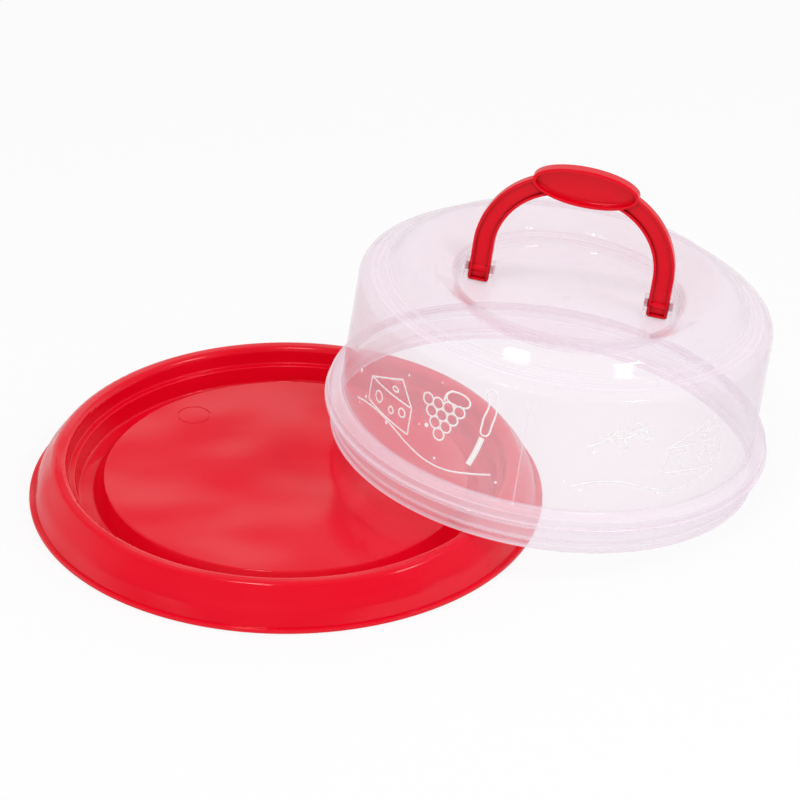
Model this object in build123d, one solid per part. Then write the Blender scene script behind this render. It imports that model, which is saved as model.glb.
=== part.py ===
from build123d import *
from math import asin, atan2, cos, degrees, hypot, radians, sin, tan
import os

# Cheese keeper: a round serving tray, a clear drum-shaped lid and its swinging carry handle.
# The tray stands on the table. The lid is off, leaning on the tray's rim with its handle upright.
# All sizes are in millimetres. +X runs from the tray towards the lid and +Z is up.

# Tray, upper surface, from its centre outwards
tray_wall = 2.2
floor_radius = 116.8
floor_height = 15.0
moat_inner_radius = 123.5
moat_outer_radius = 133.6
moat_height = 4.6
step_inner_radius = 135.4
step_outer_radius = 139.5
step_height = 15.8
rim_inner_radius = 140.6
rim_outer_radius = 149.0
rim_height = 27.0
skirt_bend_radius = 158.0
skirt_bend_height = 15.4
skirt_foot_radius = 163.2
foot_lip_width = 1.8
foot_lip_height = 3.2
foot_lip_rounding = 1.0

# Tray, roundings in the same order
floor_edge_rounding = 1.6
moat_rounding = 2.2
step_rounding = 0.8
rim_inner_rounding = 3.6
rim_outer_rounding = 5.0
skirt_rounding = 24.0

# Lid, outer surface. Heights are counted from its bottom lip.
lid_wall = 1.6
lid_clearance = 0.7
ledge_clearance = 5.4
skirt_flare = 0.7
flange_radius = 142.4
ledge_overhang = 2.2
ledge_thickness = 3.2
ledge_rounding = 0.9
flange_height = 8.8
flange_slope = 1.0
lip_bead_height = 2.2
guide_bead_bottom = 5.6
bead_projection = 0.7
bead_height = 1.8
bead_drop = 0.6
bead_rounding = 0.5
drum_bottom_radius = 135.0
drum_top_radius = 133.9
drum_top_height = 105.2
shoulder_radius = 126.6
shoulder_height = 110.2
crease_radius = 117.4
crease_height = 114.0
dome_mid_radius = 109.0
dome_mid_height = 122.0
crest_radius = 96.5
crest_height = 128.0
knee_radius = 74.5
knee_height = 117.2
disc_radius = 70.5
disc_height = 105.4

# Lid, roundings in the same order as its run, from the disc out to the skirt
disc_edge_rounding = 3.0
knee_rounding = 3.0
crest_rounding = 7.0
dome_rounding = 16.0
crease_rounding = 0.8
shoulder_rounding = 10.0
drum_top_rounding = 3.6
neck_rounding = 1.4
flange_rounding = 1.0
skirt_top_rounding = 0.8
skirt_rounding_below = 0.6

# Handle brackets on the lid's centre disc
pivot_half_span = 58.3
pivot_rise = 9.4
bracket_wall = 2.4
bracket_depth = 12.0
bracket_sink = 0.8
bracket_corner = 2.1
slot_corner = 2.0
slot_floor_gap = 0.3
cheek_gap = 0.4
gate_radius = 2.2
gate_height = 1.0

# Handle, a flat bow with an oval grip. Its channels and the grip's dish leave a raised border.
leg_width = 13.5
leg_depth = 6.4
leg_edge_rounding = 0.7
arch_rise = 19.0
arch_radius = 51.6
foot_reach = 8.3
foot_corner = 2.2
foot_swing_gap = 0.5
pin_radius = 2.6
pin_clearance = 0.05
pin_end_gap = 0.4
channel_border = 1.9
channel_depth = 2.0
grip_length = 68.8
grip_height = 25.4
grip_depth = 8.4
grip_edge_rounding = 0.9
grip_border = 2.2
front_dish_depth = 4.4
front_dish_rounding = 2.4
back_dish_depth = 1.6
back_dish_rounding = 1.2

# How the lid lies beside the tray
lid_distance = 169.6
lid_direction = 13.7
handle_direction = -10.3
lean_gap = 0.75
table_gap = 0.1

# Sizes that follow from the ones above
lip_radius = step_outer_radius - lid_clearance - bead_projection
skirt_height = rim_height - step_height + ledge_clearance
flange_top = skirt_height + flange_height
pivot_height = disc_height + pivot_rise
slot_half_width = leg_width / 2 + cheek_gap
foot_swing_radius = pivot_rise - slot_floor_gap - foot_swing_gap


def turn_at(before, corner, after):
    """Signed turn of a run at a corner, in radians, and the shorter of its two legs."""
    first = (corner[0] - before[0], corner[1] - before[1])
    second = (after[0] - corner[0], after[1] - corner[1])
    cross = first[0] * second[1] - first[1] * second[0]
    dot = first[0] * second[0] + first[1] * second[1]
    return atan2(cross, dot), min(hypot(*first), hypot(*second))


def rounded_run(points, roundings):
    """A run of straight lines whose corners are rounded, each as far as its legs allow."""
    radii = []
    for index, rounding in enumerate(roundings, start=1):
        turn, leg = turn_at(points[index - 1], points[index], points[index + 1])
        radii.append(min(rounding, 0.48 * leg / tan(abs(turn) / 2)))
    return FilletPolyline(*points, radius=radii)


def inset_run(points, wall):
    """The same run moved to its right-hand side by the wall. Its end stays at the run's own height."""
    normals = []
    for start, end in zip(points, points[1:]):
        length = hypot(end[0] - start[0], end[1] - start[1])
        normals.append(((end[1] - start[1]) / length, (start[0] - end[0]) / length))
    moved = [(points[0][0] + wall * normals[0][0], points[0][1] + wall * normals[0][1])]
    for point, first, second in zip(points[1:], normals, normals[1:]):
        share = wall / (1 + first[0] * second[0] + first[1] * second[1])
        moved.append((
            point[0] + share * (first[0] + second[0]),
            point[1] + share * (first[1] + second[1])))
    moved.append((points[-1][0] + wall / normals[-1][0], points[-1][1]))
    return moved


def shell_of_revolution(points, roundings, wall):
    """A thin shell turned about Z. The run is its outer surface, from the axis to its free edge."""
    inner_roundings = []
    for index, rounding in enumerate(roundings, start=1):
        turn, _ = turn_at(points[index - 1], points[index], points[index + 1])
        inner_roundings.append(rounding + wall if turn > 0 else max(rounding - wall, 0.2))
    inner_points = inset_run(points, wall)
    outline = [
        rounded_run(points, roundings),
        Line(points[-1], inner_points[-1]),
        rounded_run(inner_points, inner_roundings),
        Line(inner_points[0], points[0]),
    ]
    return revolve(Plane.XZ * make_face([edge for run in outline for edge in run.edges()]), Axis.Z)


def ring(inner_radius, outer_radius, bottom, top, rounding):
    """A plain ring about Z whose two outer edges are rounded."""
    height = top - bottom
    section = Rectangle(outer_radius - inner_radius, height, align=(Align.MIN, Align.MIN))
    section = fillet(section.vertices().group_by(Axis.X)[-1], min(rounding, 0.45 * height))
    return revolve(Plane.XZ * Pos(inner_radius, bottom) * section, Axis.Z)


def make_tray():
    points = [
        (0, floor_height),
        (floor_radius, floor_height),
        (moat_inner_radius, moat_height),
        (moat_outer_radius, moat_height),
        (step_inner_radius, step_height),
        (step_outer_radius, step_height),
        (rim_inner_radius, rim_height),
        (rim_outer_radius, rim_height),
        (skirt_bend_radius, skirt_bend_height),
        (skirt_foot_radius, 0),
    ]
    roundings = [
        floor_edge_rounding, moat_rounding, moat_rounding, step_rounding, step_rounding,
        rim_inner_rounding, rim_outer_rounding, skirt_rounding,
    ]
    shell = shell_of_revolution(points, roundings, tray_wall)
    foot_lip = ring(
        skirt_foot_radius - tray_wall / 2, skirt_foot_radius + foot_lip_width,
        0, foot_lip_height, foot_lip_rounding)
    return shell + foot_lip


def make_bracket():
    """A clevis for one leg of the handle, with its pin holes. Its slot is centred on the YZ plane."""
    outer_half = slot_half_width + bracket_wall
    base = disc_height - bracket_sink
    top = pivot_height + bracket_depth / 2
    outer = Pos(0, base) * Rectangle(2 * outer_half, top - base, align=(Align.CENTER, Align.MIN))
    slot_floor = disc_height + slot_floor_gap
    slot = Rectangle(2 * slot_half_width, top, align=(Align.CENTER, Align.MIN))
    slot = fillet(slot.vertices().group_by(Axis.Y)[0], slot_corner)
    profile = outer - Pos(0, slot_floor) * slot
    clevis = extrude(Plane.XZ * profile, bracket_depth / 2, both=True)
    base_corners = clevis.edges().filter_by(Axis.Z).filter_by(
        lambda edge: abs(edge.center().X) > outer_half - 0.01)
    clevis = fillet(base_corners, bracket_corner)
    ear_round = Pos(0, 0, pivot_height) * Rot(0, 90, 0) * Cylinder(bracket_depth / 2, 2 * outer_half)
    ear_base = Pos(0, 0, base) * Box(
        2 * outer_half, bracket_depth, pivot_height - base, align=(Align.CENTER, Align.CENTER, Align.MIN))
    pin_hole = Pos(0, 0, pivot_height) * Rot(0, 90, 0) * Cylinder(
        pin_radius + pin_clearance, 3 * outer_half)
    return (clevis & (ear_round + ear_base)) - pin_hole


def make_lid():
    points = [
        (0, disc_height),
        (disc_radius, disc_height),
        (knee_radius, knee_height),
        (crest_radius, crest_height),
        (dome_mid_radius, dome_mid_height),
        (crease_radius, crease_height),
        (shoulder_radius, shoulder_height),
        (drum_top_radius, drum_top_height),
        (drum_bottom_radius, flange_top + flange_slope),
        (flange_radius, flange_top),
        (flange_radius, skirt_height),
        (lip_radius + skirt_flare, skirt_height - flange_slope / 2),
        (lip_radius, 0),
    ]
    roundings = [
        disc_edge_rounding, knee_rounding, crest_rounding, dome_rounding, crease_rounding,
        shoulder_rounding, drum_top_rounding, neck_rounding, flange_rounding, skirt_top_rounding,
        skirt_rounding_below,
    ]
    shell = shell_of_revolution(points, roundings, lid_wall)
    ledge = ring(
        flange_radius - lid_wall / 2, flange_radius + ledge_overhang,
        skirt_height, skirt_height + ledge_thickness, ledge_rounding)
    bead = ring(
        flange_radius - lid_wall / 2, flange_radius + bead_projection,
        flange_top - bead_height - bead_drop, flange_top - bead_drop, bead_rounding)
    lip = ring(
        lip_radius - lid_wall / 2, lip_radius + bead_projection, 0, lip_bead_height, bead_rounding)
    guide = ring(
        lip_radius - lid_wall / 2, lip_radius + skirt_flare / 2 + bead_projection,
        guide_bead_bottom, guide_bead_bottom + bead_height, bead_rounding)
    gate = Pos(0, 0, disc_height - lid_wall / 2) * Cylinder(
        gate_radius, lid_wall / 2 + gate_height, align=(Align.CENTER, Align.CENTER, Align.MIN))
    lid = shell + ledge + bead + lip + guide + gate
    for side in (-1, 1):
        lid += Pos(side * pivot_half_span, 0, 0) * make_bracket()
    return lid


def bow_outline(width, reach):
    """The handle's C shape in its own plane: two legs and an arch that is flat on top."""
    height = arch_rise + arch_radius + reach
    outline = Sketch()
    for sign in (1, -1):
        side = Rectangle(
            2 * pivot_half_span + sign * width, height + sign * width / 2, align=(Align.CENTER, Align.MIN))
        side = fillet(side.vertices().group_by(Axis.Y)[-1], arch_radius + sign * width / 2)
        outline = outline + side if sign > 0 else outline - side
    return Pos(0, -reach) * outline


def oval_block(border, near, far):
    """The grip's oval, drawn in by a border, from one depth to another. Depth is counted towards -Y."""
    outline = Pos(0, arch_rise + arch_radius) * Ellipse(grip_length / 2 - border, grip_height / 2 - border)
    return extrude(Plane.XZ.offset(near) * outline, far - near)


def make_handle():
    """The handle with its pivot line on the X axis. It stands upright and the grip's dish faces -Y."""
    outline = bow_outline(leg_width, foot_reach)
    outline = fillet(outline.vertices().group_by(Axis.Y)[0], foot_corner)
    bow = extrude(Plane.XZ * outline, leg_depth / 2, both=True)
    bow = fillet(bow.faces().filter_by(Axis.Y).edges(), leg_edge_rounding)
    foot_space = Box(
        4 * pivot_half_span, 2 * leg_depth, 4 * pivot_half_span,
        align=(Align.CENTER, Align.CENTER, Align.MIN))
    foot_space += Rot(0, 90, 0) * Cylinder(foot_swing_radius, 4 * pivot_half_span)
    bow &= foot_space
    grip = oval_block(0, -grip_depth / 2, grip_depth / 2)
    grip = fillet(grip.edges(), grip_edge_rounding)
    channel = extrude(
        Plane.XZ * bow_outline(leg_width - 2 * channel_border, foot_reach - channel_border),
        leg_depth, both=True)
    web = Box(4 * pivot_half_span, leg_depth - 2 * channel_depth, 8 * pivot_half_span)
    handle = bow - (channel - web - oval_block(0, -2 * leg_depth, 2 * leg_depth)) + grip
    front_floor = grip_depth / 2 - front_dish_depth
    front_dish = oval_block(grip_border, front_floor, grip_depth)
    front_dish = fillet(front_dish.edges().group_by(Axis.Y)[-1], front_dish_rounding)
    back_dish = oval_block(grip_border, -grip_depth, back_dish_depth - grip_depth / 2)
    back_dish = fillet(back_dish.edges().group_by(Axis.Y)[0], back_dish_rounding)
    handle -= front_dish + back_dish
    pin_length = leg_width / 2 + cheek_gap + bracket_wall - pin_end_gap
    for side in (-1, 1):
        handle += Pos(side * pivot_half_span, 0, 0) * Rot(0, 90, 0) * Cylinder(pin_radius, 2 * pin_length)
    return handle


def lid_location():
    """The lid lies with its lip on the table at one side and on the tray's rim at the other.

    The lip crosses the middle of the rim at two points. Their distance from the lip's lowest
    point gives the tilt that lifts them to the top of the rim.
    """
    rim_radius = (rim_inner_radius + rim_outer_radius) / 2
    outer_lip = lip_radius + bead_projection
    chord = (lid_distance ** 2 + rim_radius ** 2 - outer_lip ** 2) / (2 * lid_distance)
    lever = outer_lip + lid_distance - chord
    tilt = asin((rim_height + lean_gap) / lever)
    heading = radians(lid_direction)
    centre = (
        lid_distance * cos(heading), lid_distance * sin(heading), outer_lip * sin(tilt) + table_gap)
    lean = Location(centre) * Rot(0, 0, lid_direction) * Rot(0, degrees(tilt), 0)
    return lean * Rot(0, 0, handle_direction - lid_direction)


def main():
    lid_place = lid_location()
    handle_place = lid_place * Pos(0, 0, pivot_height)
    parts = {
        "tray": make_tray(),
        "lid": lid_place * make_lid(),
        "handle": handle_place * make_handle(),
    }
    # The origin is the middle of the whole set, on the table.
    boxes = [shape.bounding_box() for shape in parts.values()]
    middle_x = (min(box.min.X for box in boxes) + max(box.max.X for box in boxes)) / 2
    middle_y = (min(box.min.Y for box in boxes) + max(box.max.Y for box in boxes)) / 2
    to_origin = Pos(-middle_x, -middle_y, 0)
    os.makedirs("parts", exist_ok=True)
    for name, shape in parts.items():
        placed = to_origin * shape
        print(name, "volume", round(placed.volume), "mm3, solids", len(placed.solids()))
        export_step(placed, f"parts/{name}.step")
    pivot = (to_origin * handle_place).position
    span = (to_origin * handle_place * Pos(1, 0, 0)).position - pivot
    print("tray centre", [round(v, 3) for v in (-middle_x, -middle_y)])
    print("handle pivot", [round(v, 4) for v in pivot], "along", [round(v, 6) for v in span])
    print("lid lip centre", [round(v, 4) for v in (to_origin * lid_place).position])
    print("lid axis", [round(v, 6) for v in (lid_place * Pos(0, 0, 1)).position - lid_place.position])


main()
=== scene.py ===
import math
import random

import bpy
from mathutils import Matrix, Vector


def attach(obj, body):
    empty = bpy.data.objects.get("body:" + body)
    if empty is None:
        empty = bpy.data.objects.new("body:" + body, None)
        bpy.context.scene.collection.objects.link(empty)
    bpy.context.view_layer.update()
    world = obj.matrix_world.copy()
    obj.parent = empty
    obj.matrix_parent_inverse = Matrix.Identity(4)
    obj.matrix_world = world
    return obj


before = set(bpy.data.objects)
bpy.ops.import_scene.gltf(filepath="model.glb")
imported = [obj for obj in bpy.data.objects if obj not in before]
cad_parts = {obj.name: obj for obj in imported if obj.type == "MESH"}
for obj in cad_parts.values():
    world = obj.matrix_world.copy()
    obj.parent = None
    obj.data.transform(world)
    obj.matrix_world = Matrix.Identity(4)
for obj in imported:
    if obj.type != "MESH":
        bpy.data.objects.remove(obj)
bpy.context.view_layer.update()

# Lengths are in metres and angles in degrees, apart from the print's motifs, which are drawn in millimetres.

# Where the lid lies: the middle of its lip, how it leans on the tray's rim, and the way its handle runs.
lidPlace = {
    "lipCentre": (0.0919704, 0.0300322, 0.0177212),
    "leanDirection": 13.7,
    "lean": 7.2934,
    "handleDirection": -10.3,
}

# The drum's outer surface, counted from the lid's lip.
drum = {
    "lowRadius": 0.1350,
    "lowHeight": 0.0264,
    "highRadius": 0.1339,
    "highHeight": 0.1052,
}


def lidMatrix():
    turn = Matrix.Rotation(math.radians(lidPlace["leanDirection"]), 4, "Z")
    lean = Matrix.Rotation(math.radians(lidPlace["lean"]), 4, "Y")
    back = Matrix.Rotation(math.radians(lidPlace["handleDirection"] - lidPlace["leanDirection"]), 4, "Z")
    return Matrix.Translation(lidPlace["lipCentre"]) @ turn @ lean @ back


# Helpers for node trees

def makeGroup(name, inputs, outputs, kind="ShaderNodeTree"):
    group = bpy.data.node_groups.new(name, kind)
    for label, socketType, value in inputs:
        socket = group.interface.new_socket(label, in_out="INPUT", socket_type=socketType)
        if value is not None:
            socket.default_value = value
    for label, socketType in outputs:
        group.interface.new_socket(label, in_out="OUTPUT", socket_type=socketType)
    start = group.nodes.new("NodeGroupInput")
    end = group.nodes.new("NodeGroupOutput")
    return group, start, end


def feed(tree, socket, value):
    # A socket takes either another node's output or a plain value.
    if isinstance(value, bpy.types.NodeSocket):
        tree.links.new(value, socket)
    else:
        socket.default_value = value


def mathNode(tree, operation, first, second=None, clamp=False):
    node = tree.nodes.new("ShaderNodeMath")
    node.operation = operation
    node.use_clamp = clamp
    feed(tree, node.inputs[0], first)
    if second is not None:
        feed(tree, node.inputs[1], second)
    return node.outputs[0]


def noiseNode(tree, vector, scale, detail=2.0, roughness=0.5):
    node = tree.nodes.new("ShaderNodeTexNoise")
    node.inputs["Detail"].default_value = detail
    node.inputs["Roughness"].default_value = roughness
    tree.links.new(vector, node.inputs["Vector"])
    feed(tree, node.inputs["Scale"], scale)
    return node.outputs["Fac"]


def mixColours(tree, factor, first, second):
    node = tree.nodes.new("ShaderNodeMix")
    node.data_type = "RGBA"
    tree.links.new(factor, node.inputs["Factor"])
    colourSockets = [socket for socket in node.inputs if socket.type == "RGBA"]
    for socket, value in zip(colourSockets, (first, second)):
        feed(tree, socket, value)
    return [socket for socket in node.outputs if socket.type == "RGBA"][0]


def rampNode(tree, value, source, target):
    # A smooth step from one range of values to another.
    ramp = tree.nodes.new("ShaderNodeMapRange")
    ramp.interpolation_type = "SMOOTHSTEP"
    ends = zip(("From Min", "From Max", "To Min", "To Max"), source + target)
    for label, number in ends:
        ramp.inputs[label].default_value = number
    tree.links.new(value, ramp.inputs["Value"])
    return ramp.outputs[0]


def seenDirectly(tree, path):
    return mathNode(tree, "MAXIMUM", path.outputs["Is Camera Ray"], path.outputs["Is Transmission Ray"])


# Shared surface effects

# The marks' patterns: how fine each is, where it starts to show and how fast it grows from there.
marksShape = {
    "smearScale": 14.0,
    "smearStart": 0.42,
    "smearGain": 3.0,
    "hairTurn": 0.6,
    "hairStretch": (30.0, 900.0, 30.0),
    "hairStart": 0.66,
    "hairGain": 6.0,
}


def mouldedSurface():
    # Slow waves and a fine skin that injection moulding leaves, as a height.
    group, start, end = makeGroup(
        "mouldedSurface",
        [("Vector", "NodeSocketVector", None), ("Wave Scale", "NodeSocketFloat", 9.0),
         ("Wave Depth", "NodeSocketFloat", 1.0), ("Skin Scale", "NodeSocketFloat", 900.0),
         ("Skin Depth", "NodeSocketFloat", 0.02)],
        [("Height", "NodeSocketFloat")])
    waves = noiseNode(group, start.outputs["Vector"], start.outputs["Wave Scale"], 1.0)
    skin = noiseNode(group, start.outputs["Vector"], start.outputs["Skin Scale"], 3.0)
    waves = mathNode(group, "MULTIPLY", waves, start.outputs["Wave Depth"])
    skin = mathNode(group, "MULTIPLY", skin, start.outputs["Skin Depth"])
    group.links.new(mathNode(group, "ADD", waves, skin), end.inputs["Height"])
    return group


def pastStart(tree, value, start, gain):
    return mathNode(tree, "MULTIPLY", mathNode(tree, "SUBTRACT", value, start, clamp=True), gain, clamp=True)


def lineMask(tree, first, second, width):
    # One where two values agree, and nothing where they are a line's width apart.
    away = mathNode(tree, "ABSOLUTE", mathNode(tree, "SUBTRACT", first, second))
    return mathNode(tree, "SUBTRACT", 1.0, mathNode(tree, "DIVIDE", away, width), clamp=True)


def handlingMarks():
    # Smears and hairline rubs that dull a glossy plastic here and there.
    group, start, end = makeGroup(
        "handlingMarks",
        [("Vector", "NodeSocketVector", None), ("Gloss", "NodeSocketFloat", 0.12),
         ("Smear", "NodeSocketFloat", 0.08), ("Hairlines", "NodeSocketFloat", 0.06)],
        [("Roughness", "NodeSocketFloat"), ("Mask", "NodeSocketFloat")])
    cloud = noiseNode(group, start.outputs["Vector"], marksShape["smearScale"], 4.0, 0.6)
    stretch = group.nodes.new("ShaderNodeMapping")
    stretch.inputs["Rotation"].default_value = (0.0, 0.0, marksShape["hairTurn"])
    stretch.inputs["Scale"].default_value = marksShape["hairStretch"]
    group.links.new(start.outputs["Vector"], stretch.inputs["Vector"])
    hair = noiseNode(group, stretch.outputs["Vector"], 1.0)
    hair = pastStart(group, hair, marksShape["hairStart"], marksShape["hairGain"])
    cloud = pastStart(group, cloud, marksShape["smearStart"], marksShape["smearGain"])
    smear = mathNode(group, "MULTIPLY", cloud, start.outputs["Smear"])
    rubs = mathNode(group, "MULTIPLY", hair, start.outputs["Hairlines"])
    total = mathNode(group, "ADD", mathNode(group, "ADD", smear, rubs), start.outputs["Gloss"])
    group.links.new(total, end.inputs["Roughness"])
    group.links.new(mathNode(group, "ADD", cloud, hair, clamp=True), end.inputs["Mask"])
    return group


def ringMark():
    # A thin raised ring that an ejector pin leaves on a moulding, as a height.
    group, start, end = makeGroup(
        "ringMark",
        [("Vector", "NodeSocketVector", None), ("Middle", "NodeSocketVector", (0.0, 0.0, 0.0)),
         ("Radius", "NodeSocketFloat", 0.01), ("Line Width", "NodeSocketFloat", 0.0005)],
        [("Height", "NodeSocketFloat")])
    away = group.nodes.new("ShaderNodeVectorMath")
    away.operation = "DISTANCE"
    group.links.new(start.outputs["Vector"], away.inputs[0])
    group.links.new(start.outputs["Middle"], away.inputs[1])
    line = lineMask(group, away.outputs["Value"], start.outputs["Radius"], start.outputs["Line Width"])
    group.links.new(line, end.inputs["Height"])
    return group


def mouldSeam():
    # A thin upright line on a round wall, at one angle round its axis, where the mould's halves meet.
    group, start, end = makeGroup(
        "mouldSeam",
        [("Vector", "NodeSocketVector", None), ("Angle", "NodeSocketFloat", 0.0),
         ("Line Width", "NodeSocketFloat", 0.0005)],
        [("Mask", "NodeSocketFloat")])
    parts = group.nodes.new("ShaderNodeSeparateXYZ")
    group.links.new(start.outputs["Vector"], parts.inputs[0])
    around = mathNode(group, "ARCTAN2", parts.outputs["Y"], parts.outputs["X"])
    lineAngle = mathNode(group, "DIVIDE", start.outputs["Line Width"], drum["lowRadius"])
    line = lineMask(group, around, start.outputs["Angle"], lineAngle)
    group.links.new(line, end.inputs["Mask"])
    return group


effects = {
    "surface": mouldedSurface(), "marks": handlingMarks(), "ring": ringMark(), "seam": mouldSeam(),
}


def useEffect(tree, effect, vector, values):
    node = tree.nodes.new("ShaderNodeGroup")
    node.node_tree = effects[effect]
    tree.links.new(vector, node.inputs["Vector"])
    for label, value in values.items():
        node.inputs[label].default_value = value
    return node


def newMaterial(name):
    material = bpy.data.materials.new(name)
    material.use_nodes = True
    tree = material.node_tree
    tree.nodes.clear()
    shader = tree.nodes.new("ShaderNodeBsdfPrincipled")
    output = tree.nodes.new("ShaderNodeOutputMaterial")
    tree.links.new(shader.outputs["BSDF"], output.inputs["Surface"])
    place = tree.nodes.new("ShaderNodeTexCoord").outputs["Object"]
    return material, tree, shader, place


def bumpFrom(tree, shader, height, distance):
    bump = tree.nodes.new("ShaderNodeBump")
    bump.inputs["Distance"].default_value = distance
    bump.inputs["Strength"].default_value = 1.0
    tree.links.new(height, bump.inputs["Height"])
    tree.links.new(bump.outputs["Normal"], shader.inputs["Normal"])


# Materials

redPlastic = {
    "colour": (0.77, 0.0008, 0.012, 1.0),
    "paleColour": (0.81, 0.0014, 0.020, 1.0),
    "handleColour": (0.72, 0.0008, 0.012, 1.0),
    "shine": 0.30,
    "handleShine": 0.20,
    "trayBump": 0.0085,
    "handleBump": 0.0006,
    # Painted shade: the dark red laid into the handle's channels and dish where ambient occlusion finds them.
    "recessPaintedShade": (0.40, 0.0004, 0.006, 1.0),
    "recessReach": 0.0035,
    "recessRange": (0.45, 0.95),
    "ejectorMiddle": (-0.1353, 0.0609, 0.0150),
    "ejectorRadius": 0.0104,
    "ejectorLine": 0.0005,
    "ejectorHeight": 0.03,
}


def trayPlastic():
    material, tree, shader, place = newMaterial("redTrayPlastic")
    marks = useEffect(tree, "marks", place, {"Gloss": 0.15, "Smear": 0.06, "Hairlines": 0.05})
    cloud = noiseNode(tree, place, 5.0)
    colour = mixColours(tree, cloud, redPlastic["colour"], redPlastic["paleColour"])
    tree.links.new(colour, shader.inputs["Base Color"])
    tree.links.new(marks.outputs["Roughness"], shader.inputs["Roughness"])
    surface = useEffect(tree, "surface", place, {"Wave Scale": 12.0, "Wave Depth": 1.0, "Skin Depth": 0.0008})
    ring = useEffect(tree, "ring", place, {
        "Middle": redPlastic["ejectorMiddle"], "Radius": redPlastic["ejectorRadius"],
        "Line Width": redPlastic["ejectorLine"]})
    raised = mathNode(tree, "MULTIPLY", ring.outputs["Height"], redPlastic["ejectorHeight"])
    height = mathNode(tree, "ADD", surface.outputs["Height"], raised)
    bumpFrom(tree, shader, height, redPlastic["trayBump"])
    shader.inputs["Specular IOR Level"].default_value = redPlastic["shine"]
    return material


def handlePlastic():
    material, tree, shader, place = newMaterial("redHandlePlastic")
    marks = useEffect(tree, "marks", place, {"Gloss": 0.13, "Smear": 0.10, "Hairlines": 0.08})
    cloud = noiseNode(tree, place, 40.0)
    colour = mixColours(tree, cloud, redPlastic["handleColour"], redPlastic["colour"])
    # Painted shade: the channels and the dish are darkened to a deeper red towards their corners by ambient
    # occlusion, where shade falls.
    recess = tree.nodes.new("ShaderNodeAmbientOcclusion")
    recess.samples = 8
    recess.inputs["Distance"].default_value = redPlastic["recessReach"]
    openness = rampNode(tree, recess.outputs["AO"], redPlastic["recessRange"], (0.0, 1.0))
    colour = mixColours(tree, openness, redPlastic["recessPaintedShade"], colour)
    tree.links.new(colour, shader.inputs["Base Color"])
    tree.links.new(marks.outputs["Roughness"], shader.inputs["Roughness"])
    surface = useEffect(tree, "surface", place, {"Wave Scale": 60.0, "Wave Depth": 0.5, "Skin Depth": 0.03})
    bumpFrom(tree, shader, surface.outputs["Height"], redPlastic["handleBump"])
    shader.inputs["Specular IOR Level"].default_value = redPlastic["handleShine"]
    return material


clearPlastic = {
    "haze": (0.90, 0.77, 0.88, 1.0),
    "milk": (0.94, 0.83, 0.91, 1.0),
    "straightAlpha": 0.19,
    "grazingAlpha": 0.58,
    "facingBlend": 0.35,
    "facingPower": 1.6,
    "shadowShare": 0.40,
    "smearMilk": 0.02,
    "bump": 0.0008,
    "ior": 1.5,
    "shine": 0.8,
    "seamAngle": -90.5,
    "seamWidth": 0.0006,
    # The seam line's extra milkiness is partly a painted highlight.
    "seamHighlightMilk": 0.25,
    "rimLow": 0.0,
    "rimHigh": 0.030,
    "rimBands": [
        (0.0, 0.30), (1.6, 0.30), (2.2, 0.06), (5.2, 0.06), (5.8, 0.34), (7.4, 0.34), (8.0, 0.14),
        (15.6, 0.10), (16.6, 0.04), (19.2, 0.06), (19.7, 0.40), (21.0, 0.22), (24.4, 0.22),
        (25.0, 0.34), (25.5, 0.12), (26.2, 0.14), (26.6, 0.34), (27.4, 0.34), (28.2, 0.0),
    ],
    "topLow": 0.100,
    "topHigh": 0.130,
    "topBands": [
        (0.0, 0.0), (9.6, 0.0), (10.0, 0.24), (10.8, 0.24), (11.2, 0.0), (13.6, 0.0), (14.0, 0.16),
        (14.6, 0.16), (15.2, 0.0),
    ],
}


def bandCurve(tree, height, stretch):
    # Extra milkiness over a stretch of the lid's height. Each band's height is in mm above its start.
    low = clearPlastic[stretch + "Low"]
    high = clearPlastic[stretch + "High"]
    bands = clearPlastic[stretch + "Bands"]
    node = tree.nodes.new("ShaderNodeFloatCurve")
    curve = node.mapping.curves[0]
    curve.points[0].location = (0.0, bands[0][1])
    curve.points[-1].location = (1.0, 0.0)
    for rise, extra in bands[1:]:
        curve.points.new(rise / 1000 / (high - low), extra)
    for point in curve.points:
        point.handle_type = "VECTOR"
    node.mapping.update()
    above = mathNode(tree, "SUBTRACT", height, low)
    share = mathNode(tree, "DIVIDE", above, high - low, clamp=True)
    tree.links.new(share, node.inputs["Value"])
    return node.outputs[0]


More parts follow.
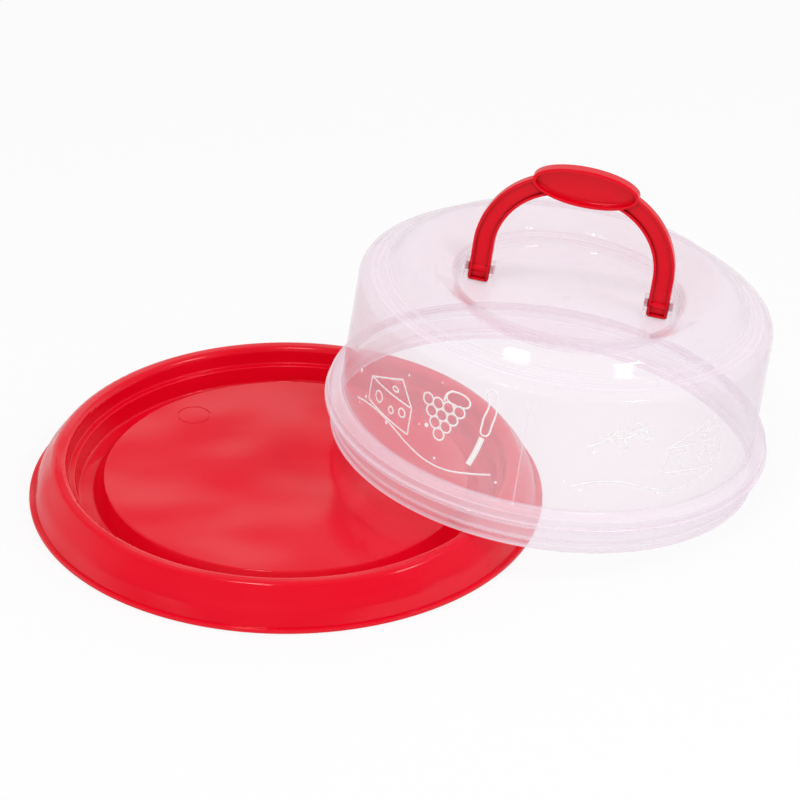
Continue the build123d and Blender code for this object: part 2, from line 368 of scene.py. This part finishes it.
def lidPlastic():
    material, tree, shader, place = newMaterial("clearLidPlastic")
    marks = useEffect(tree, "marks", place, {"Gloss": 0.05, "Smear": 0.05, "Hairlines": 0.04})
    cloud = noiseNode(tree, place, 7.0, 3.0)
    colour = mixColours(tree, cloud, clearPlastic["haze"], clearPlastic["milk"])
    tree.links.new(colour, shader.inputs["Base Color"])
    tree.links.new(marks.outputs["Roughness"], shader.inputs["Roughness"])
    surface = useEffect(tree, "surface", place, {"Wave Scale": 22.0, "Wave Depth": 1.0, "Skin Depth": 0.006})
    bumpFrom(tree, shader, surface.outputs["Height"], clearPlastic["bump"])
    # The wall is looked through along a longer way where it turns aside, so it is milkier there.
    facing = tree.nodes.new("ShaderNodeLayerWeight")
    facing.inputs["Blend"].default_value = clearPlastic["facingBlend"]
    steep = mathNode(tree, "POWER", facing.outputs["Facing"], clearPlastic["facingPower"])
    alpha = mathNode(tree, "MULTIPLY", steep, clearPlastic["grazingAlpha"] - clearPlastic["straightAlpha"])
    alpha = mathNode(tree, "ADD", alpha, clearPlastic["straightAlpha"])
    onLid = tree.nodes.new("ShaderNodeMapping")
    onLid.vector_type = "TEXTURE"
    onLid.inputs["Location"].default_value = lidPlace["lipCentre"]
    onLid.inputs["Rotation"].default_value = lidMatrix().to_euler()
    tree.links.new(place, onLid.inputs["Vector"])
    parts = tree.nodes.new("ShaderNodeSeparateXYZ")
    tree.links.new(onLid.outputs["Vector"], parts.inputs[0])
    # The thick edges of the rim and the creases of the shoulder look milkier than the thin wall.
    rim = bandCurve(tree, parts.outputs["Z"], "rim")
    top = bandCurve(tree, parts.outputs["Z"], "top")
    alpha = mathNode(tree, "ADD", alpha, mathNode(tree, "ADD", rim, top))
    # Painted highlight: a thin upright line along the mould seam on the drum's front. The seam is real, and
    # it is made milkier to stand in for the glint it catches.
    seam = useEffect(tree, "seam", onLid.outputs["Vector"], {
        "Angle": math.radians(clearPlastic["seamAngle"]), "Line Width": clearPlastic["seamWidth"]})
    onDrum = mathNode(tree, "GREATER_THAN", parts.outputs["Z"], drum["lowHeight"])
    belowShoulder = mathNode(tree, "LESS_THAN", parts.outputs["Z"], drum["highHeight"])
    line = mathNode(tree, "MULTIPLY", mathNode(tree, "MULTIPLY", onDrum, belowShoulder), seam.outputs["Mask"])
    alpha = mathNode(tree, "ADD", alpha, mathNode(tree, "MULTIPLY", line, clearPlastic["seamHighlightMilk"]))
    cloudy = mathNode(tree, "MULTIPLY", marks.outputs["Mask"], clearPlastic["smearMilk"])
    alpha = mathNode(tree, "ADD", alpha, cloudy, clamp=True)
    # The haze passes most of the light on, so shadow and bounce rays lose little in it.
    path = tree.nodes.new("ShaderNodeLightPath")
    passing = mathNode(tree, "MAXIMUM", path.outputs["Is Shadow Ray"], path.outputs["Is Diffuse Ray"])
    spared = mathNode(tree, "MULTIPLY", passing, 1.0 - clearPlastic["shadowShare"])
    kept = mathNode(tree, "SUBTRACT", 1.0, spared)
    tree.links.new(mathNode(tree, "MULTIPLY", alpha, kept), shader.inputs["Alpha"])
    shader.inputs["IOR"].default_value = clearPlastic["ior"]
    shader.inputs["Specular IOR Level"].default_value = clearPlastic["shine"]
    return material


whiteInk = {
    "colour": (0.96, 0.95, 0.95, 1.0),
    "paleColour": (1.0, 1.0, 1.0, 1.0),
    "speckleScale": 1800.0,
    "roughness": 0.45,
    "bump": 0.000004,
}


def printInk():
    material, tree, shader, place = newMaterial("whitePrintInk")
    speckle = noiseNode(tree, place, whiteInk["speckleScale"])
    colour = mixColours(tree, speckle, whiteInk["colour"], whiteInk["paleColour"])
    tree.links.new(colour, shader.inputs["Base Color"])
    shader.inputs["Roughness"].default_value = whiteInk["roughness"]
    bumpFrom(tree, shader, speckle, whiteInk["bump"])
    # The thin ink lets light through to the plastic, so it throws no dark edge on it.
    path = tree.nodes.new("ShaderNodeLightPath")
    tree.links.new(mathNode(tree, "SUBTRACT", 1.0, path.outputs["Is Shadow Ray"]), shader.inputs["Alpha"])
    return material


materials = {
    "tray": trayPlastic(), "handle": handlePlastic(), "lid": lidPlastic(), "print": printInk(),
}

for nodeName in ("tray", "lid", "handle"):
    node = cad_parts[nodeName]
    node.data.materials.clear()
    node.data.materials.append(materials[nodeName])
print("mouldings: materials set")


# The white print round the drum, a generic kitchen pattern

printDesign = {
    "strokeWidth": 1.15,
    "strokeStep": 0.9,
    "inkThickness": 0.10,
    "lift": 0.07,
    "seed": 7,
    "groupAngles": (-121.0, -52.0),
    "dotsInGroup": 11,
    "dotsAcross": (-70, 62),
    "dotsUp": (36, 96),
    "dotRadii": (0.45, 1.5),
    "dotCorners": 20,
    "curveSteps": 10,
}


def circleStroke(x, y, radius, squash=1.0):
    turns = [t * math.pi / 4 for t in range(8)]
    points = [(x + radius * math.cos(t), y + squash * radius * math.sin(t)) for t in turns]
    return {"points": points, "closed": True}


def cheeseWedge():
    side = [(0, 0), (34, -3), (34, 12), (0, 13)]
    top = [(0, 13), (25, 24), (34, 12)]
    holes = [(9, 6, 2.9, 1.0), (20, 4, 1.8, 1.0), (28, 6.5, 2.3, 1.0), (21, 16.5, 2.2, 0.55)]
    edges = [{"points": side, "closed": True, "sharp": True}, {"points": top, "sharp": True}]
    return edges + [circleStroke(*hole) for hole in holes]


def grapes():
    rows = [(0, (-6, 0, 6)), (5.2, (-9, -3, 3, 9)), (-5.2, (-3, 3)), (-10.4, (0,))]
    berries = [circleStroke(dx, dy, 3.0) for dy, row in rows for dx in row]
    stem = {"points": [(0, 8), (1, 12), (4, 15)], "weight": 1.3}
    leaf = {"points": [(1, 11), (7, 8), (14, 11), (9, 15)], "closed": True}
    return berries + [stem, leaf]


def leafySprig():
    strokes = [{"points": [(0, 0), (12, 5), (24, 7), (34, 13)]}]
    for share, rise in ((0.25, 1), (0.45, -1), (0.65, 1), (0.85, -1)):
        x, y = 34 * share, 3 + 9 * share
        leaf = [(x, y), (x + 2, y + rise * 4), (x + 6, y + rise * 6.5), (x + 4.5, y + rise * 2)]
        strokes.append({"points": leaf, "closed": True})
    return strokes


def cheeseKnife():
    blade = [(0, 0), (4, 9), (4.5, 20), (2, 27), (-1, 25), (0.5, 19), (-1.5, 8)]
    grip = [(-0.5, -1.5), (-2.5, -10), (-5.5, -19)]
    return [{"points": blade, "closed": True}, {"points": grip, "weight": 3.2}]


def flowingLine():
    steps = [step / 8 for step in range(9)]
    return [{"points": [(110 * t, 5 * math.sin(2.2 * math.pi * t) - 3 * t) for t in steps]}]


def placed(strokes, x, y, scale):
    moved = []
    for stroke in strokes:
        points = [(x + scale * px, y + scale * py) for px, py in stroke["points"]]
        moved.append(dict(stroke, points=points))
    return moved


def motifGroup(index):
    # Motifs of one side of the drum, in turns, as strokes on a flat sheet (mm round the drum, mm up).
    if index % 2 == 0:
        return (placed(cheeseWedge(), -50, 50, 1.25) + placed(grapes(), 16, 71, 1.3)
                + placed(cheeseKnife(), 46, 68, 1.2) + placed(flowingLine(), -64, 43, 1.08))
    return (placed(leafySprig(), -50, 74, 1.1) + placed(cheeseWedge(), 4, 53, 1.35)
            + placed(flowingLine(), -56, 46, 0.95))


drumInputs = [
    ("Low Radius", "NodeSocketFloat", 135.0),
    ("Taper", "NodeSocketFloat", 0.0145),
    ("Low Height", "NodeSocketFloat", 20.0),
]


def printTree(name, inputs):
    # A tree that takes geometry, its own inputs and the drum's, and gives geometry.
    inputs = [("Geometry", "NodeSocketGeometry", None)] + inputs + drumInputs
    return makeGroup(name, inputs, [("Geometry", "NodeSocketGeometry")], "GeometryNodeTree")


def wrapTree():
    # Bends a flat sheet round the drum. X is the way round, Y the height and Z the distance out, in mm.
    tree, start, end = printTree("wrapRoundDrum", [])
    position = tree.nodes.new("GeometryNodeInputPosition").outputs[0]
    parts = tree.nodes.new("ShaderNodeSeparateXYZ")
    tree.links.new(position, parts.inputs[0])
    angle = mathNode(tree, "DIVIDE", parts.outputs["X"], start.outputs["Low Radius"])
    above = mathNode(tree, "SUBTRACT", parts.outputs["Y"], start.outputs["Low Height"])
    narrower = mathNode(tree, "MULTIPLY", above, start.outputs["Taper"])
    radius = mathNode(tree, "SUBTRACT", start.outputs["Low Radius"], narrower)
    radius = mathNode(tree, "ADD", radius, parts.outputs["Z"])
    joined = tree.nodes.new("ShaderNodeCombineXYZ")
    tree.links.new(mathNode(tree, "MULTIPLY", radius, mathNode(tree, "COSINE", angle)), joined.inputs["X"])
    tree.links.new(mathNode(tree, "MULTIPLY", radius, mathNode(tree, "SINE", angle)), joined.inputs["Y"])
    tree.links.new(parts.outputs["Y"], joined.inputs["Z"])
    move = tree.nodes.new("GeometryNodeSetPosition")
    tree.links.new(start.outputs["Geometry"], move.inputs["Geometry"])
    tree.links.new(joined.outputs[0], move.inputs["Position"])
    tree.links.new(move.outputs[0], end.inputs["Geometry"])
    return tree


def finishTree(tree, start, end, geometry, wrap):
    # The wrap, real copies and the ink, which both print trees end in.
    bend = tree.nodes.new("GeometryNodeGroup")
    bend.node_tree = wrap
    for label, _, _ in drumInputs:
        tree.links.new(start.outputs[label], bend.inputs[label])
    real = tree.nodes.new("GeometryNodeRealizeInstances")
    ink = tree.nodes.new("GeometryNodeSetMaterial")
    ink.inputs["Material"].default_value = materials["print"]
    tree.links.new(geometry, real.inputs[0])
    tree.links.new(real.outputs[0], bend.inputs["Geometry"])
    tree.links.new(bend.outputs[0], ink.inputs["Geometry"])
    tree.links.new(ink.outputs[0], end.inputs["Geometry"])


def strokeTree(wrap):
    # Gives each drawn line a flat ribbon of ink, as much wider as the line's own weight says.
    tree, start, end = printTree("printedStrokes", [
        ("Stroke Width", "NodeSocketFloat", 0.8), ("Stroke Step", "NodeSocketFloat", 1.0),
        ("Ink Thickness", "NodeSocketFloat", 0.1)])
    even = tree.nodes.new("GeometryNodeResampleCurve")
    even.mode = "LENGTH"
    tree.links.new(start.outputs["Stroke Step"], even.inputs["Length"])
    normal = tree.nodes.new("GeometryNodeSetCurveNormal")
    normal.mode = "Z_UP"
    ribbon = tree.nodes.new("GeometryNodeCurvePrimitiveQuadrilateral")
    tree.links.new(start.outputs["Stroke Width"], ribbon.inputs["Width"])
    tree.links.new(start.outputs["Ink Thickness"], ribbon.inputs["Height"])
    sweep = tree.nodes.new("GeometryNodeCurveToMesh")
    sweep.inputs["Fill Caps"].default_value = True
    tree.links.new(start.outputs["Geometry"], even.inputs["Curve"])
    tree.links.new(even.outputs[0], normal.inputs[0])
    tree.links.new(normal.outputs[0], sweep.inputs["Curve"])
    weight = tree.nodes.new("GeometryNodeInputRadius")
    tree.links.new(weight.outputs[0], sweep.inputs["Scale"])
    tree.links.new(ribbon.outputs[0], sweep.inputs["Profile Curve"])
    finishTree(tree, start, end, sweep.outputs[0], wrap)
    return tree


def dotTree(wrap):
    # Puts a round dot of ink on each point, between two sizes.
    tree, start, end = printTree("printedDots", [
        ("Smallest", "NodeSocketFloat", 0.5), ("Largest", "NodeSocketFloat", 1.5),
        ("Ink Thickness", "NodeSocketFloat", 0.1), ("Seed", "NodeSocketInt", 1)])
    dot = tree.nodes.new("GeometryNodeMeshCylinder")
    dot.inputs["Vertices"].default_value = printDesign["dotCorners"]
    dot.inputs["Radius"].default_value = 1.0
    tree.links.new(start.outputs["Ink Thickness"], dot.inputs["Depth"])
    size = tree.nodes.new("FunctionNodeRandomValue")
    size.data_type = "FLOAT"
    smallest, largest = [socket for socket in size.inputs if socket.type == "VALUE"][:2]
    tree.links.new(start.outputs["Smallest"], smallest)
    tree.links.new(start.outputs["Largest"], largest)
    tree.links.new(start.outputs["Seed"], size.inputs["Seed"])
    value = [socket for socket in size.outputs if socket.type == "VALUE"][0]
    scale = tree.nodes.new("ShaderNodeCombineXYZ")
    scale.inputs["Z"].default_value = 1.0
    tree.links.new(value, scale.inputs["X"])
    tree.links.new(value, scale.inputs["Y"])
    copies = tree.nodes.new("GeometryNodeInstanceOnPoints")
    tree.links.new(start.outputs["Geometry"], copies.inputs["Points"])
    tree.links.new(dot.outputs["Mesh"], copies.inputs["Instance"])
    tree.links.new(scale.outputs[0], copies.inputs["Scale"])
    finishTree(tree, start, end, copies.outputs[0], wrap)
    return tree


def linkedObject(name, data):
    thing = bpy.data.objects.new(name, data)
    bpy.context.scene.collection.objects.link(thing)
    return thing


def setInputs(modifier, values):
    for item in modifier.node_group.interface.items_tree:
        if item.item_type == "SOCKET" and item.in_out == "INPUT" and item.name in values:
            modifier[item.identifier] = values[item.name]


def bakedPiece(name, source, tree, values):
    # Runs the tree on a helper object and keeps only its plain mesh, placed with the lid.
    modifier = source.modifiers.new("print", "NODES")
    modifier.node_group = tree
    setInputs(modifier, values)
    bpy.context.view_layer.update()
    evaluated = source.evaluated_get(bpy.context.evaluated_depsgraph_get())
    mesh = bpy.data.meshes.new_from_object(evaluated)
    source.modifiers.remove(modifier)
    bpy.data.objects.remove(source)
    mesh.transform(lidMatrix() @ Matrix.Scale(0.001, 4))
    mesh.name = name
    piece = linkedObject(name, mesh)
    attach(piece, "lid")
    return piece


def drumValues():
    # What both print trees are told: the drum's form in mm, and the ink's middle just outside it.
    rise = drum["highHeight"] - drum["lowHeight"]
    return {
        "Low Radius": drum["lowRadius"] * 1000 + printDesign["lift"] + printDesign["inkThickness"] / 2,
        "Taper": (drum["lowRadius"] - drum["highRadius"]) / rise,
        "Low Height": drum["lowHeight"] * 1000,
        "Ink Thickness": printDesign["inkThickness"],
    }


def addStroke(curve, stroke, shift):
    spline = curve.splines.new("BEZIER")
    spline.bezier_points.add(len(stroke["points"]) - 1)
    for knot, (x, y) in zip(spline.bezier_points, stroke["points"]):
        knot.co = (x + shift, y, 0.0)
        knot.radius = stroke.get("weight", 1.0)
        knot.handle_left_type = knot.handle_right_type = "VECTOR" if stroke.get("sharp") else "AUTO"
    spline.use_cyclic_u = stroke.get("closed", False)
    spline.resolution_u = printDesign["curveSteps"]


def makePrint():
    # The drawn lines and the scattered dots, each made into one piece of ink.
    wrap = wrapTree()
    around = drum["lowRadius"] * 1000
    curve = bpy.data.curves.new("printLines", "CURVE")
    curve.dimensions = "3D"
    dots = []
    picker = random.Random(printDesign["seed"])
    for index, groupAngle in enumerate(printDesign["groupAngles"]):
        shift = math.radians(groupAngle) * around
        for stroke in motifGroup(index):
            addStroke(curve, stroke, shift)
        for _ in range(printDesign["dotsInGroup"]):
            across = picker.uniform(*printDesign["dotsAcross"])
            dots.append((shift + across, picker.uniform(*printDesign["dotsUp"]), 0.0))
    lines = linkedObject("printLines", curve)
    strokes = bakedPiece("printed_strokes", lines, strokeTree(wrap), dict(drumValues(), **{
        "Stroke Width": printDesign["strokeWidth"], "Stroke Step": printDesign["strokeStep"]}))
    cloud = bpy.data.meshes.new("printDots")
    cloud.from_pydata(dots, [], [])
    points = linkedObject("printDots", cloud)
    smallest, largest = printDesign["dotRadii"]
    spots = bakedPiece("printed_dots", points, dotTree(wrap), dict(drumValues(), **{
        "Smallest": smallest, "Largest": largest, "Seed": printDesign["seed"]}))
    return strokes, spots


for piece in makePrint():
    print("print:", piece.name, len(piece.data.polygons), "faces")


# The stage: floor, light and camera

stage = {
    "white": (1.0, 1.0, 1.0, 1.0),
    "worldLight": 0.70,
    "floorSize": 12.0,
    "floorDrop": 0.0003,
    "floorPaint": (0.90, 0.90, 0.90, 1.0),
    "floorGlow": 0.82,
    # Painted shadow: the floor's glow colour where it is seen through the lid.
    "floorLidShadowTint": (0.95, 0.92, 0.93, 1.0),
    "nearRange": (-0.5, 0.5),
    "nearShade": 0.22,
    "ceilingRange": (0.44, 0.62),
    "ceilingShade": 0.50,
    "lampTarget": (0.08, 0.02, 0.10),
}

lamps = {
    "topLeft": {
        "from": (-0.18, -0.31, 0.93), "distance": 1.7, "size": (0.34, 0.16), "power": 5.0, "inGloss": True},
    "topRight": {
        "from": (0.575, -0.257, 0.777), "distance": 1.7, "size": (0.42, 0.16), "power": 5.0, "inGloss": True},
    "frontFill": {
        "from": (-0.30, -0.80, 0.52), "distance": 2.2, "size": (2.2, 1.8), "power": 8.0, "inGloss": False},
}


def makeFloor():
    half = stage["floorSize"] / 2
    corners = [(-half, -half, 0), (half, -half, 0), (half, half, 0), (-half, half, 0)]
    mesh = bpy.data.meshes.new("floor")
    mesh.from_pydata(corners, [], [(0, 1, 2, 3)])
    floor = linkedObject("floor", mesh)
    floor.location = (0.0, 0.0, -stage["floorDrop"])
    material = bpy.data.materials.new("paleFloor")
    material.use_nodes = True
    tree = material.node_tree
    tree.nodes.clear()
    output = tree.nodes.new("ShaderNodeOutputMaterial")
    paint = tree.nodes.new("ShaderNodeBsdfDiffuse")
    paint.inputs["Color"].default_value = stage["floorPaint"]
    glow = tree.nodes.new("ShaderNodeEmission")
    glow.inputs["Strength"].default_value = 1.0
    path = tree.nodes.new("ShaderNodeLightPath")
    # Painted shadow: seen through the clear lid, the floor's glow takes a pale pink tint that stands in for
    # the shade the lid throws on it.
    through = mathNode(tree, "GREATER_THAN", path.outputs["Transparent Depth"], 0.5)
    tint = mixColours(tree, through, stage["white"], stage["floorLidShadowTint"])
    tree.links.new(tint, glow.inputs["Color"])
    share = mathNode(tree, "MULTIPLY", seenDirectly(tree, path), stage["floorGlow"])
    blend = mixShaders(tree, share, paint, glow)
    tree.links.new(blend.outputs[0], output.inputs["Surface"])
    mesh.materials.append(material)


def mixShaders(tree, share, first, second):
    blend = tree.nodes.new("ShaderNodeMixShader")
    tree.links.new(share, blend.inputs[0])
    tree.links.new(first.outputs[0], blend.inputs[1])
    tree.links.new(second.outputs[0], blend.inputs[2])
    return blend


def makeWorld():
    world = bpy.data.worlds.new("studio")
    bpy.context.scene.world = world
    world.use_nodes = True
    tree = world.node_tree
    tree.nodes.clear()
    output = tree.nodes.new("ShaderNodeOutputWorld")
    light = tree.nodes.new("ShaderNodeBackground")
    light.inputs["Strength"].default_value = stage["worldLight"]
    plain = tree.nodes.new("ShaderNodeBackground")
    room = tree.nodes.new("ShaderNodeBackground")
    path = tree.nodes.new("ShaderNodeLightPath")
    # Gloss shows the white backdrop behind the set, a greyer ceiling and a dimmer room on the near side.
    toward = tree.nodes.new("ShaderNodeSeparateXYZ")
    tree.links.new(tree.nodes.new("ShaderNodeTexCoord").outputs["Generated"], toward.inputs[0])
    depth = rampNode(tree, toward.outputs["Y"], stage["nearRange"], (stage["nearShade"], 1.0))
    height = rampNode(tree, toward.outputs["Z"], stage["ceilingRange"], (1.0, stage["ceilingShade"]))
    tree.links.new(mathNode(tree, "MULTIPLY", depth, height), room.inputs["Strength"])
    gloss = mixShaders(tree, path.outputs["Is Glossy Ray"], light, room)
    blend = mixShaders(tree, seenDirectly(tree, path), gloss, plain)
    tree.links.new(blend.outputs[0], output.inputs["Surface"])
    for node in (light, plain, room):
        node.inputs["Color"].default_value = stage["white"]


def makeLamps():
    target = Vector(stage["lampTarget"])
    for name, values in lamps.items():
        away = Vector(values["from"]).normalized()
        data = bpy.data.lights.new(name, "AREA")
        data.shape = "RECTANGLE"
        data.size, data.size_y = values["size"]
        data.energy = values["power"]
        lamp = linkedObject(name, data)
        lamp.location = target + away * values["distance"]
        lamp.rotation_euler = (-away).to_track_quat("-Z", "Y").to_euler()
        lamp.visible_camera = False
        lamp.visible_glossy = values["inGloss"]


# The camera's place, the point it looks at, its roll and its lens follow the photograph's viewing angle.
view = {
    "place": (-0.000468, -2.553157, 1.57439),
    "look": (-0.000468, 0.109863, 0.0),
    "roll": 0.92,
    "lens": 209.0,
    "sensorWidth": 36.0,
}


def makeCamera():
    data = bpy.data.cameras.new("camera")
    data.lens = view["lens"]
    data.sensor_width = view["sensorWidth"]
    camera = linkedObject("camera", data)
    forward = (Vector(view["look"]) - Vector(view["place"])).normalized()
    level = forward.cross(Vector((0.0, 0.0, 1.0))).normalized()
    upright = level.cross(forward)
    roll = math.radians(view["roll"])
    right = level * math.cos(roll) + upright * math.sin(roll)
    up = upright * math.cos(roll) - level * math.sin(roll)
    turn = Matrix((right, up, -forward)).transposed().to_4x4()
    camera.matrix_world = Matrix.Translation(view["place"]) @ turn
    bpy.context.scene.camera = camera


makeFloor()
makeWorld()
makeLamps()
makeCamera()
bpy.context.scene.view_settings.view_transform = "Standard"
print("stage: floor, world, lamps and camera set")
